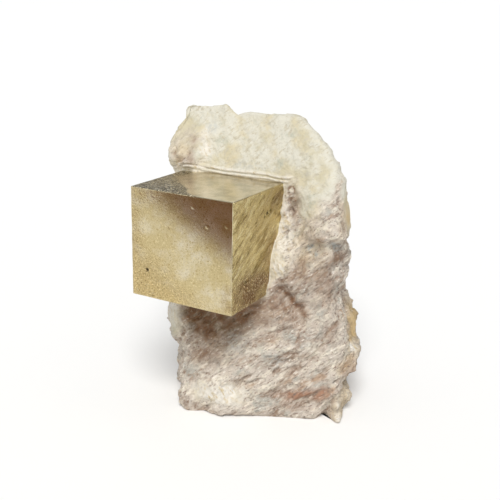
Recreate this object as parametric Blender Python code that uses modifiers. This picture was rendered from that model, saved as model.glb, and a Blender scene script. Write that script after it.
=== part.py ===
"""A pyrite specimen: one cube of pyrite that grew in a broken lump of pale marl.

Metres, +Z up, and -Y is the front, where the crystal stands out of the stone. The origin is
in the middle of the flat face that the stone rests on. Sizes below are in millimetres.
"""

import itertools
import math

import bpy
import numpy as np

MM = 0.001
COLLECTION_NAME = "pyrite_specimen"

# The crystal: a cube, a little lower than it is wide, turned about the vertical.
CRYSTAL_SIZE = (24.0, 24.0, 23.0)
CRYSTAL_CENTRE = (-11.1, -7.4, 39.4)
CRYSTAL_TURN = math.radians(-29.35)
CRYSTAL_EDGE_WEAR = 0.25
CRYSTAL_COLOUR = (0.52, 0.43, 0.24)
CRYSTAL_ROUGHNESS = 0.3
# The stone keeps this far from the crystal all round.
SOCKET_GAP = 0.3

# The stone: its skin is a closed surface of two parameters, the way round and the way up.
ROUND_STEPS = 80
UP_STEPS = 46
STONE_HEIGHT = 65.6
STONE_COLOUR = (0.72, 0.63, 0.52)
STONE_ROUGHNESS = 0.9

# Way up the skin: share of the steps, share of the section's width, height.
SKIN_PATH = (
    (0.00, 0.00, 0.0),
    (0.05, 0.96, 0.0),
    (0.07, 0.99, 0.5),
    (0.09, 1.00, 1.4),
    (0.84, 1.00, 63.9),
    (0.86, 0.97, 64.9),
    (0.88, 0.88, 65.4),
    (1.00, 0.00, STONE_HEIGHT),
)

# Over this part of the way up, the relief turns from standing out to standing up.
CAP_BLEND = (0.82, 0.90)

# Left and right edges of the stone: height, x.
LEFT_EDGE = (
    (0.0, -18.0),
    (4.5, -19.0),
    (9.0, -19.4),
    (13.0, -20.8),
    (18.0, -21.8),
    (21.0, -21.6),
    (24.0, -20.2),
    (30.0, -19.2),
    (50.0, -20.2),
    (55.0, -21.2),
    (58.0, -20.6),
    (60.5, -18.6),
    (62.5, -18.2),
)
RIGHT_EDGE = (
    (0.0, 18.8),
    (2.4, 19.8),
    (4.6, 19.3),
    (7.6, 19.5),
    (12.2, 22.2),
    (15.5, 21.2),
    (18.5, 20.8),
    (20.5, 19.3),
    (23.0, 18.3),
    (31.5, 18.0),
    (40.0, 18.8),
    (45.5, 17.8),
    (49.0, 16.6),
    (51.0, 15.5),
    (52.4, 15.4),
    (54.2, 14.3),
    (55.6, 13.8),
    (57.4, 11.9),
    (61.0, 8.6),
)
# The edges' steps climb this far from front to back.
LEFT_SLANT = 3.0
RIGHT_SLANT = 3.6
# The sides lean in towards the front: height, by how much.
LEFT_TAPER = (
    (0.0, 1.0),
    (14.0, 3.0),
    (24.0, 3.0),
    (34.0, 1.5),
)
RIGHT_TAPER = (
    (0.0, 1.5),
    (36.0, 2.4),
    (47.0, 2.4),
    (52.0, 0.0),
)
# The crest sinks towards the right, with one nick: x, drop.
CREST_DROP = (
    (-18.0, 0.6),
    (-12.0, 0.5),
    (-9.0, 0.1),
    (-6.4, 1.7),
    (-4.4, 0.7),
    (8.0, 0.6),
)
CREST_REACH = 13.0
# The top falls towards the back by this much for each mm.
CREST_FALL = 0.34

# Main broken faces, each y = at + across * x + lean * z.
FRONT_FACE = (-12.7, -0.08, 0.03)
WALL_FACE = (-20.6, -0.562, 0.324)
BACK_FACE = (13.5, 0.05, 0.09)
BACK_LEFT_FACE = (26.0, 0.55, 0.02)
BACK_TOP_FACE = (36.0, -0.1, -0.31)
EDGE_SOFTNESS = 1.2
SECTION_POWER = 8.0

# Lumps and hollows: where (x, y, z), reach, push (x, y, z).
LUMPS = (
    # knobbly lump over the crystal's back corner
    ((-19.0, 7.0, 55.0), 4.2, (-0.4, -2.6, 0.0)),
    ((-16.5, 4.6, 51.8), 2.4, (0.0, -1.2, 0.6)),
    ((-14.5, 7.0, 58.5), 2.8, (0.0, -1.1, 0.0)),
    ((-20.0, 6.0, 53.0), 1.4, (-0.5, -1.4, 0.0)),
    ((-17.6, 5.0, 54.8), 1.2, (0.0, 1.6, 0.0)),
    ((-19.4, 7.0, 57.4), 1.5, (-0.4, -1.3, 0.0)),
    ((-16.2, 4.0, 54.4), 1.2, (0.0, -1.3, 0.0)),
    ((-14.4, 3.4, 53.0), 1.6, (0.0, 1.6, 0.0)),
    ((-12.6, 3.0, 56.0), 1.8, (0.0, -0.7, 0.0)),
    # cream collar along the crystal, and the valley beside it
    ((4.0, -8.0, 44.0), 2.2, (0.4, -1.0, 0.0)),
    ((3.2, -11.0, 35.0), 3.0, (0.6, -1.8, 0.0)),
    ((5.6, -12.0, 31.5), 2.4, (0.0, -1.2, 0.0)),
    ((6.0, -8.5, 46.0), 2.4, (0.0, 1.8, 0.0)),
    ((7.6, -9.5, 42.0), 2.8, (0.0, 3.0, 0.0)),
    ((9.4, -11.0, 37.0), 2.6, (0.0, 2.4, 0.0)),
    # bulge right of the valley, with a ledge over a notch
    ((13.5, -12.0, 43.0), 5.0, (0.4, -2.0, 0.0)),
    ((15.0, -12.5, 45.6), 2.0, (0.3, -1.4, -0.3)),
    ((14.8, -12.5, 43.0), 1.6, (0.0, 2.6, 0.5)),
    ((11.0, -12.0, 43.8), 1.3, (0.0, 1.4, 0.0)),
    # groove below the crystal's right corner
    ((3.2, -12.0, 29.5), 1.7, (0.0, 1.6, 0.0)),
    ((5.0, -12.0, 27.2), 1.6, (0.0, 1.9, 0.0)),
    ((6.8, -12.0, 25.0), 1.6, (0.0, 1.9, 0.0)),
    # hollow below the crystal
    ((-12.0, -8.0, 23.0), 6.5, (0.0, 2.4, 0.0)),
    ((-2.0, -11.0, 23.5), 5.0, (0.0, 1.2, 0.0)),
    # bulge at the foot, left, over a small step
    ((-9.0, -12.0, 6.4), 4.6, (0.0, -1.8, 0.0)),
    ((-12.0, -11.5, 1.0), 2.6, (0.0, 1.2, 0.0)),
    ((-17.0, -8.0, 2.5), 3.6, (-1.4, -2.2, 0.0)),
    # ledge and lumps of the right edge
    ((19.5, -5.0, 13.4), 2.6, (0.8, -2.2, 0.6)),
    ((19.0, -8.5, 11.0), 2.4, (1.4, -2.0, -0.4)),
    ((19.5, -6.5, 7.4), 2.0, (-1.4, 1.2, 0.0)),
    ((18.8, -7.0, 3.8), 2.2, (0.5, -1.2, 0.0)),
    # spur that hangs down at the right foot, and the bay beside it
    ((16.8, -12.0, 0.4), 2.0, (0.8, -3.2, 0.0)),
    ((16.2, -12.0, 3.4), 1.8, (0.6, -2.4, 0.0)),
    ((15.6, -12.0, 6.6), 1.8, (0.2, -1.4, 0.0)),
    ((13.2, -12.5, 0.0), 1.8, (-0.8, 3.6, 0.8)),
    ((13.6, -12.5, 2.6), 1.5, (-0.4, 1.8, 0.0)),
    # broken back and sides
    ((4.0, 17.0, 42.0), 10.0, (0.0, 2.6, 0.0)),
    ((-9.0, 14.0, 22.0), 8.0, (0.0, -2.4, 0.0)),
    ((9.0, 14.0, 12.0), 6.0, (0.0, 2.0, 0.0)),
    ((19.0, 6.0, 36.0), 7.0, (-2.2, 0.0, 0.0)),
    ((-20.0, 10.0, 38.0), 7.0, (1.8, -1.0, 0.0)),
)

# Relief that covers the stone. Broken marl steps down in flat treads, drawn out along ridges
# that rise to the right; the wall behind the crystal is smoother.
RIDGE_RISE = math.radians(35.0)
RIDGE_LENGTH = 16.0
RIDGE_WIDTH = 5.5
TREADS = 2.2
TREAD_FLAT = 0.5
TREAD_DEPTH = 1.3
SWELL_WIDTH = 9.0
SWELL_DEPTH = 0.7
OCTAVES = 3
TREAD_SEED = 5
SWELL_SEED = 21
NOISE_CELLS = 32
# The wall and the cap keep this share of the relief. It fades over these depths, in mm: the
# wall's plane against the front's, and the skin behind the front.
SMOOTH_SHARE = 0.35
WALL_BLEND = (-1.0, 2.0)
WALL_FOOT = (22.0, 30.0)
SIDE_BLEND = (3.0, 8.0)
# Nothing moves up or down at the foot: it fades in over this height, so that the face the
# stone rests on stays flat.
FOOT_BLEND = (0.0, 2.0)

# Patches that are smoother or rougher than their face: middle, reach for each axis, share.
SMOOTHED = (
    ((-9.0, -12.5, 6.6), (6.0, 4.0, 3.4), 0.9),
    ((18.0, -6.0, 45.0), (4.0, 8.0, 6.0), 0.8),
    ((-20.5, 2.0, 19.0), (2.6, 5.0, 4.0), 0.8),
    ((20.5, -3.0, 18.0), (2.0, 4.0, 4.0), 0.8),
    ((-18.5, 6.0, 54.5), (3.6, 5.0, 3.6), -0.7),
    ((4.4, -7.5, 46.0), (2.4, 3.0, 6.5), -0.8),
)
# The normal is read from points this far apart, as a share of the way round and the way up.
GIRTH_SAMPLES = 4000
GIRTH_RISE = 0.5
NORMAL_STEP = 0.014
SHORTEST_NORMAL = 1e-9


def ramp(value, low, high):
    """0 below low, 1 above high, and an S curve between."""
    share = np.clip((value - low) / (high - low), 0.0, 1.0)
    return share * share * (3.0 - 2.0 * share)


def along(table, value, column=1):
    """Value read from a table of points, straight between them."""
    points = np.array(table)
    return np.interp(value, points[:, 0], points[:, column])


def face_y(face, x, z):
    """y of a plane at x and z."""
    at, across, lean = face
    return at + across * x + lean * z


def soft_max(first, second, softness):
    """The larger of two, with the corner between them rounded."""
    gap = np.sqrt((first - second) ** 2 + softness**2)
    return (first + second + gap) / 2


def front_y(x, z):
    """y of the front: the rough lower face and the smooth wall behind the crystal."""
    return soft_max(face_y(FRONT_FACE, x, z), face_y(WALL_FACE, x, z), EDGE_SOFTNESS)


def back_y(x, z):
    """y of the back: three planes."""
    side = -soft_max(-face_y(BACK_FACE, x, z), -face_y(BACK_LEFT_FACE, x, z), EDGE_SOFTNESS)
    return -soft_max(-side, -face_y(BACK_TOP_FACE, x, z), EDGE_SOFTNESS)


def block_point(turn, rise):
    """Skin of the plain block: a rounded section, carried up the edges and the faces."""
    angle = 2 * math.pi * turn
    share = along(SKIN_PATH, rise)
    z = along(SKIN_PATH, rise, 2)
    power = 2.0 / SECTION_POWER
    across = np.sign(np.cos(angle)) * np.abs(np.cos(angle)) ** power * share
    deep = np.sign(np.sin(angle)) * np.abs(np.sin(angle)) ** power * share
    forward = np.maximum(-deep, 0.0)
    left = along(LEFT_EDGE, z + LEFT_SLANT * deep) + along(LEFT_TAPER, z) * forward
    right = along(RIGHT_EDGE, z + RIGHT_SLANT * deep) - along(RIGHT_TAPER, z) * forward
    centre = (left + right) / 2
    x = centre + across * (right - left) / 2
    front = front_y(x, z)
    back = back_y(x, z)
    middle = (front_y(centre, z) + back_y(centre, z)) / 2
    y = middle + np.where(deep < 0, deep * (middle - front), deep * (back - middle))
    drop = along(CREST_DROP, x) + CREST_FALL * np.maximum(y - front, 0.0)
    z = z - drop * ramp(z, STONE_HEIGHT - CREST_REACH, STONE_HEIGHT)
    return np.stack([x, y, z], axis=-1)


def even_turn(share):
    """The way round that has this share of the plain block's girth before it."""
    turn = np.linspace(0.0, 1.0, GIRTH_SAMPLES)
    section = block_point(turn, np.full(turn.shape, GIRTH_RISE))
    step = np.linalg.norm(np.diff(section, axis=0), axis=-1)
    length = np.concatenate([[0.0], np.cumsum(step)])
    return np.interp(share, length / length[-1], turn)


def noise(points, seed):
    """Smooth random field, -1 to 1: random values at whole-number points, eased between."""
    values = np.random.default_rng(seed).uniform(-1, 1, (NOISE_CELLS,) * 3)
    cell = np.floor(points).astype(int)
    part = points - cell
    ease = part * part * (3.0 - 2.0 * part)
    total = np.zeros(points.shape[:-1])
    for corner in itertools.product((0, 1), repeat=3):
        index = (cell + corner) % NOISE_CELLS
        weight = np.where(corner, ease, 1.0 - ease).prod(axis=-1)
        total += weight * values[index[..., 0], index[..., 1], index[..., 2]]
    return total


def relief(points, width, octaves, seed):
    """Sum of noises, each half as wide and half as deep as the one before."""
    total = np.zeros(points.shape[:-1])
    for octave in range(octaves):
        total += noise(points * 2.0**octave / width, seed + octave) / 2.0**octave
    return total


def gathered(points, spots):
    """Sum over spots of share times exp(-((point - middle) / reach)^2)."""
    total = np.zeros(points.shape[:-1])
    for middle, reach, share in spots:
        total += share * np.exp(-(((points - middle) / reach) ** 2).sum(axis=-1))
    return total


def treads(points):
    """Steps of broken marl: a noise stretched along the ridges, cut into treads and risers.

    Level t lies on tread floor(t), and climbs to the next in the last part of its way.
    """
    x, y, z = np.moveaxis(points, -1, 0)
    along_ridge = x * math.cos(RIDGE_RISE) + z * math.sin(RIDGE_RISE)
    over_ridge = z * math.cos(RIDGE_RISE) - x * math.sin(RIDGE_RISE)
    stretched = [along_ridge / RIDGE_LENGTH, y / RIDGE_WIDTH, over_ridge / RIDGE_WIDTH]
    level = relief(np.stack(stretched, axis=-1), 1.0, OCTAVES, TREAD_SEED) * TREADS
    tread = np.floor(level)
    return (tread + ramp(level - tread, TREAD_FLAT, 1.0)) / TREADS


def skin_normal(turn, rise):
    """Outward direction of the plain block: along the way round crossed with the way up."""
    around = block_point(turn + NORMAL_STEP, rise) - block_point(turn - NORMAL_STEP, rise)
    upward = block_point(turn, rise + NORMAL_STEP) - block_point(turn, rise - NORMAL_STEP)
    normal = np.cross(around, upward)
    normal /= np.maximum(np.linalg.norm(normal, axis=-1, keepdims=True), SHORTEST_NORMAL)
    cap = ramp(rise, *CAP_BLEND)[..., None]
    return normal * (1.0 - cap) + np.array((0.0, 0.0, 1.0)) * cap


def smoothness(points, rise):
    """1 on the smooth wall behind the crystal and on the cap, 0 on the rough faces."""
    x, y, z = np.moveaxis(points, -1, 0)
    wall = ramp(face_y(WALL_FACE, x, z) - face_y(FRONT_FACE, x, z), *WALL_BLEND)
    wall = wall * ramp(z, *WALL_FOOT) * (1.0 - ramp(y - front_y(x, z), *SIDE_BLEND))
    share = np.maximum(wall, ramp(rise, *CAP_BLEND)) + gathered(points, SMOOTHED)
    return np.clip(share, 0.0, 1.0)


def stone_point(turn, rise):
    """Skin of the stone: the block, its relief along the normal, its lumps and hollows."""
    points = block_point(turn, rise)
    depth = TREAD_DEPTH * treads(points)
    depth += SWELL_DEPTH * relief(points, SWELL_WIDTH, OCTAVES, SWELL_SEED)
    depth *= 1.0 - (1.0 - SMOOTH_SHARE) * smoothness(points, rise)
    moved = points + skin_normal(turn, rise) * depth[..., None]
    for where, reach, push in LUMPS:
        near = np.exp(-(((points - where) / reach) ** 2).sum(axis=-1))
        moved += near[..., None] * np.array(push)
    z = points[..., 2]
    moved[..., 2] = z + (moved[..., 2] - z) * ramp(z, *FOOT_BLEND)
    return moved


def material(name, colour, metallic, roughness):
    """A Principled surface in one colour."""
    made = bpy.data.materials.new(name)
    made.use_nodes = True
    shader = made.node_tree.nodes["Principled BSDF"]
    shader.inputs["Base Color"].default_value = (*colour, 1.0)
    shader.inputs["Metallic"].default_value = metallic
    shader.inputs["Roughness"].default_value = roughness
    return made


def clear_scene():
    """The startup scene's objects removed."""
    for thing in list(bpy.data.objects):
        bpy.data.objects.remove(thing, do_unlink=True)


def new_collection(name):
    """An empty collection in the scene."""
    made = bpy.data.collections.new(name)
    bpy.context.scene.collection.children.link(made)
    return made


def cuboid(name, size, collection):
    """A box of this size in mm, at the crystal's place."""
    bpy.ops.mesh.primitive_cube_add(size=1.0)
    box = bpy.context.object
    box.name = name
    box.data.name = name
    for vertex in box.data.vertices:
        vertex.co = [part * length * MM for part, length in zip(vertex.co, size)]
    box.location = [part * MM for part in CRYSTAL_CENTRE]
    box.rotation_euler = (0.0, 0.0, CRYSTAL_TURN)
    for holder in list(box.users_collection):
        holder.objects.unlink(box)
    collection.objects.link(box)
    return box


def make_crystal(collection):
    """The cube, with its edges a little worn."""
    crystal = cuboid("pyrite_crystal", CRYSTAL_SIZE, collection)
    wear = crystal.modifiers.new("worn edges", "BEVEL")
    wear.width = CRYSTAL_EDGE_WEAR * MM
    wear.segments = 2
    crystal.data.materials.append(material("pyrite", CRYSTAL_COLOUR, 1.0, CRYSTAL_ROUGHNESS))
    return crystal


def make_stone(collection):
    """A ball, each of whose points goes to the place on the stone's skin that it stands for."""
    bpy.ops.mesh.primitive_uv_sphere_add(segments=ROUND_STEPS, ring_count=UP_STEPS, radius=1.0)
    stone = bpy.context.object
    stone.name = "marl_matrix"
    stone.data.name = "marl_matrix"
    ball = np.empty(len(stone.data.vertices) * 3)
    stone.data.vertices.foreach_get("co", ball)
    x, y, z = ball.reshape(-1, 3).T
    turn = even_turn(np.arctan2(y, x) / (2 * math.pi) % 1.0)
    rise = 1.0 - np.arccos(np.clip(z, -1.0, 1.0)) / math.pi
    stone.data.vertices.foreach_set("co", (stone_point(turn, rise) * MM).ravel())
    stone.data.update()
    for holder in list(stone.users_collection):
        holder.objects.unlink(stone)
    collection.objects.link(stone)
    stone.data.materials.append(material("marl", STONE_COLOUR, 0.0, STONE_ROUGHNESS))
    return stone


def cut_socket(stone, cutters):
    """The hollow that the crystal fills, with a thin gap all round it."""
    size = [length + 2 * SOCKET_GAP for length in CRYSTAL_SIZE]
    cutter = cuboid("socket_cutter", size, cutters)
    cutter.hide_render = True
    cutter.display_type = "WIRE"
    socket = stone.modifiers.new("socket", "BOOLEAN")
    socket.operation = "DIFFERENCE"
    socket.object = cutter


clear_scene()
parts = new_collection(COLLECTION_NAME)
cutters = new_collection("cutters")
cutters.hide_render = True
make_crystal(parts)
cut_socket(make_stone(parts), cutters)
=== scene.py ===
# %% [markdown]
# # A cube of pyrite in its marl
#
# Pyrite is iron sulphide. In some beds of soft, pale marl it grew as single cubes, with faces
# so flat that they look cut. A collector breaks the rock away until the cube stands free and
# leaves the piece that still holds it, which is called the matrix.
#
# The specimen has two solids, and both are already in the imported model: the crystal and the
# stone. This script gives each of them a finer skin in the same place, and a material.

# %% Load the frame and keep its parts where they are
import itertools
import math

import bpy
import numpy as np
from mathutils import Matrix, Vector


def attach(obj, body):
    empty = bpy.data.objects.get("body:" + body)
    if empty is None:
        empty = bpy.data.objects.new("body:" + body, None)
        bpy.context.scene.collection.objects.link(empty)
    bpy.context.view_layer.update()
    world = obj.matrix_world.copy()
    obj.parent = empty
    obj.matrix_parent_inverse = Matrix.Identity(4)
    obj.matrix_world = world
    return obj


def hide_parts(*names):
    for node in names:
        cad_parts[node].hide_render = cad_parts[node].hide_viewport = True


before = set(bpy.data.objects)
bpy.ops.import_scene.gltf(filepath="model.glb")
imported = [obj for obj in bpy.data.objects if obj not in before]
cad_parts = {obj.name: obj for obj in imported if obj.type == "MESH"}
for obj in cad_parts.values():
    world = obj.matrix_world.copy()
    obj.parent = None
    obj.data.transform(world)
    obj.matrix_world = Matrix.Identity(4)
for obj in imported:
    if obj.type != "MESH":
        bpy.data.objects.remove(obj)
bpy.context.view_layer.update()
# Blender works in metres, and this script in millimetres.
MM = 0.001
print("nodes:", sorted(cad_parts))

# %% [markdown]
# ## Helpers
#
# Everything below is worked out in millimetres, in the frame's own axes: +Z is up, and the
# crystal stands out of the stone towards -Y. A shape is a function of two parameters, worked
# out for a whole grid at once, and a few small functions are enough for all of it.


# %% Ramps, tables and random fields
def ramp(value, low, high):
    """0 below low, 1 above high, and the S curve 3s^2 - 2s^3 between."""
    share = np.clip((value - low) / (high - low), 0.0, 1.0)
    return share * share * (3.0 - 2.0 * share)


def along(table, value, column=1):
    """Value read from a table of points, straight between them."""
    points = np.array(table)
    return np.interp(value, points[:, 0], points[:, column])


# Every noise repeats after this many cells.
NOISE_CELLS = 32


def noise(points, seed):
    """Smooth random field, -1 to 1: random values at whole-number points, eased between."""
    values = np.random.default_rng(seed).uniform(-1, 1, (NOISE_CELLS,) * 3)
    cell = np.floor(points).astype(int)
    part = points - cell
    ease = part * part * (3.0 - 2.0 * part)
    total = np.zeros(points.shape[:-1])
    for corner in itertools.product((0, 1), repeat=3):
        index = (cell + corner) % NOISE_CELLS
        weight = np.where(corner, ease, 1.0 - ease).prod(axis=-1)
        total += weight * values[index[..., 0], index[..., 1], index[..., 2]]
    return total


def relief(points, width, seed, octaves=3):
    """Sum of noises, each half as wide and half as deep as the one before."""
    total = np.zeros(points.shape[:-1])
    for octave in range(octaves):
        total += noise(points * 2.0**octave / width, seed + octave) / 2.0**octave
    return total


def gathered(points, spots):
    """Sum over spots of share times exp(-((point - where) / reach)^2), reach for each axis."""
    total = np.zeros(points.shape[:-1])
    for where, reach, share in spots:
        total += share * np.exp(-(((points - where) / reach) ** 2).sum(axis=-1))
    return total


print("half way up a ramp:", ramp(0.5, 0.0, 1.0))


# %% Put a shape into a mesh
def make_piece(name, points, faces):
    """A mesh object of these points, in mm, and faces. Its origin is the frame's."""
    mesh = bpy.data.meshes.new(name)
    mesh.from_pydata((points * MM).tolist(), [], faces)
    mesh.shade_smooth()
    mesh.update()
    piece = bpy.data.objects.new(name, mesh)
    bpy.context.scene.collection.objects.link(piece)
    return piece


def paint_marks(piece, name, channels):
    """Up to four fields, one value for each point, kept as a colour at each face's corners."""
    mesh = piece.data
    at_points = np.ones((len(mesh.vertices), 4), np.float32)
    for channel, field in enumerate(channels):
        at_points[:, channel] = field
    corner = np.empty(len(mesh.loops), np.int32)
    mesh.loops.foreach_get("vertex_index", corner)
    marks = mesh.attributes.new(name, "FLOAT_COLOR", "CORNER")
    marks.data.foreach_set("color", at_points[corner].ravel())


print("one unit of the mesh is", round(1.0 / MM), "mm")


# %% Colours and nodes
def linear(code):
    """An sRGB hex colour as linear red, green, blue and alpha 1: c / 12.92 where c is dark,
    and ((c + 0.055) / 1.055) to the power 2.4 above that."""
    parts = np.array([int(code[at : at + 2], 16) for at in (1, 3, 5)]) / 255.0
    low = parts / 12.92
    high = ((parts + 0.055) / 1.055) ** 2.4
    return (*np.where(parts <= 0.04045, low, high), 1.0)


def add_node(tree, kind, inputs=(), **settings):
    """A node with its settings, whose inputs take a value or another node's output."""
    node = tree.nodes.new(kind)
    for setting, value in settings.items():
        setattr(node, setting, value)
    for socket, value in dict(inputs).items():
        if isinstance(value, bpy.types.NodeSocket):
            tree.links.new(value, node.inputs[socket])
        else:
            node.inputs[socket].default_value = value
    return node


def new_material(name):
    """An empty node tree with a Principled shader wired to the output."""
    made = bpy.data.materials.new(name)
    made.use_nodes = True
    return made, made.node_tree, made.node_tree.nodes["Principled BSDF"]


print("mid grey #808080 in linear light:", round(linear("#808080")[0], 3))

# %% [markdown]
# ## Where the crystal is
#
# The cube stands upright and is turned about the vertical. The stone's skin needs to know
# where it is too, because marl that grew against a crystal stands up round it in a thin lip.

# %% Size and place of the crystal
CRYSTAL_SIZE = np.array((24.0, 24.0, 23.0))
CRYSTAL_CENTRE = np.array((-11.1, -7.4, 39.4))
CRYSTAL_TURN = math.radians(-29.35)


def turned(points, angle):
    """Points turned about the vertical: (x cos - y sin, x sin + y cos, z)."""
    x, y, z = np.moveaxis(points, -1, 0)
    cos, sin = math.cos(angle), math.sin(angle)
    return np.stack([x * cos - y * sin, x * sin + y * cos, z], axis=-1)


def in_frame(points):
    """The crystal's own axes to the frame's."""
    return turned(points, CRYSTAL_TURN) + CRYSTAL_CENTRE


def in_crystal(points):
    """The frame's axes to the crystal's own."""
    return turned(points - CRYSTAL_CENTRE, -CRYSTAL_TURN)


print("front left top corner:", in_frame(CRYSTAL_SIZE / 2 * (-1, -1, 1)).round(1), "mm")

# %% [markdown]
# ## The shape of the stone
#
# Marl is soft and has no grain to split along. Struck with a hammer, it breaks in broad flat
# faces where it meets a joint, and in ragged flakes everywhere else. This piece has both: a
# smooth pale wall behind the crystal, and a rough face below it.
#
# A sculpted mesh would do, but it would hide how the form is made. Here the skin is a
# closed surface of two parameters, the way round and the way up. A rounded section is carried
# up two drawn edges and between a few planes, and then lumps and hollows push its points.

# %% Main forms of the stone
STONE_HEIGHT = 65.6
# Way up the skin: share of the way, share of the section's width, height.
SKIN_PATH = (
    (0.00, 0.00, 0.0),
    (0.05, 0.96, 0.0),
    (0.07, 0.99, 0.5),
    (0.09, 1.00, 1.4),
    (0.84, 1.00, 63.9),
    (0.86, 0.97, 64.9),
    (0.88, 0.88, 65.4),
    (1.00, 0.00, STONE_HEIGHT),
)
# The cap of the stone starts over this stretch of the way up.
CAP_BLEND = (0.82, 0.90)
# Left and right edges of the stone: height, x.
LEFT_EDGE = (
    (0.0, -18.0),
    (4.5, -19.0),
    (9.0, -19.4),
    (13.0, -20.8),
    (18.0, -21.8),
    (21.0, -21.6),
    (24.0, -20.2),
    (30.0, -19.2),
    (50.0, -20.2),
    (55.0, -21.2),
    (58.0, -20.6),
    (60.5, -18.6),
    (62.5, -18.2),
)
RIGHT_EDGE = (
    (0.0, 18.8),
    (2.4, 19.8),
    (4.6, 19.3),
    (7.6, 19.5),
    (12.2, 22.2),
    (15.5, 21.2),
    (18.5, 20.8),
    (20.5, 19.3),
    (23.0, 18.3),
    (31.5, 18.0),
    (40.0, 18.8),
    (45.5, 17.8),
    (49.0, 16.6),
    (51.0, 15.5),
    (52.4, 15.4),
    (54.2, 14.3),
    (55.6, 13.8),
    (57.4, 11.9),
    (61.0, 8.6),
)
# The edges' steps climb this far from front to back.
LEFT_SLANT = 3.0
RIGHT_SLANT = 3.6
# The sides lean in towards the front: height, by how much.
LEFT_TAPER = (
    (0.0, 1.0),
    (14.0, 3.0),
    (24.0, 3.0),
    (34.0, 1.5),
)
RIGHT_TAPER = (
    (0.0, 1.5),
    (36.0, 2.4),
    (47.0, 2.4),
    (52.0, 0.0),
)
# The crest sinks towards the right, with one nick: x, drop.
CREST_DROP = (
    (-18.0, 0.6),
    (-12.0, 0.5),
    (-9.0, 0.1),
    (-6.4, 1.7),
    (-4.4, 0.7),
    (8.0, 0.6),
)
CREST_REACH = 13.0
# The top falls towards the back by this much for each mm.
CREST_FALL = 0.34
# Main broken faces, each y = at + across * x + lean * z.
FRONT_FACE = (-12.7, -0.08, 0.03)
WALL_FACE = (-20.6, -0.562, 0.324)
BACK_FACE = (13.5, 0.05, 0.09)
BACK_LEFT_FACE = (26.0, 0.55, 0.02)
BACK_TOP_FACE = (36.0, -0.1, -0.31)
# How widely two faces are rounded into each other, and how square the section is.
EDGE_SOFTNESS = 1.2
SECTION_POWER = 8.0
print("stone:", STONE_HEIGHT, "mm tall,", RIGHT_EDGE[0][1] - LEFT_EDGE[0][1], "mm wide at its foot")

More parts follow.
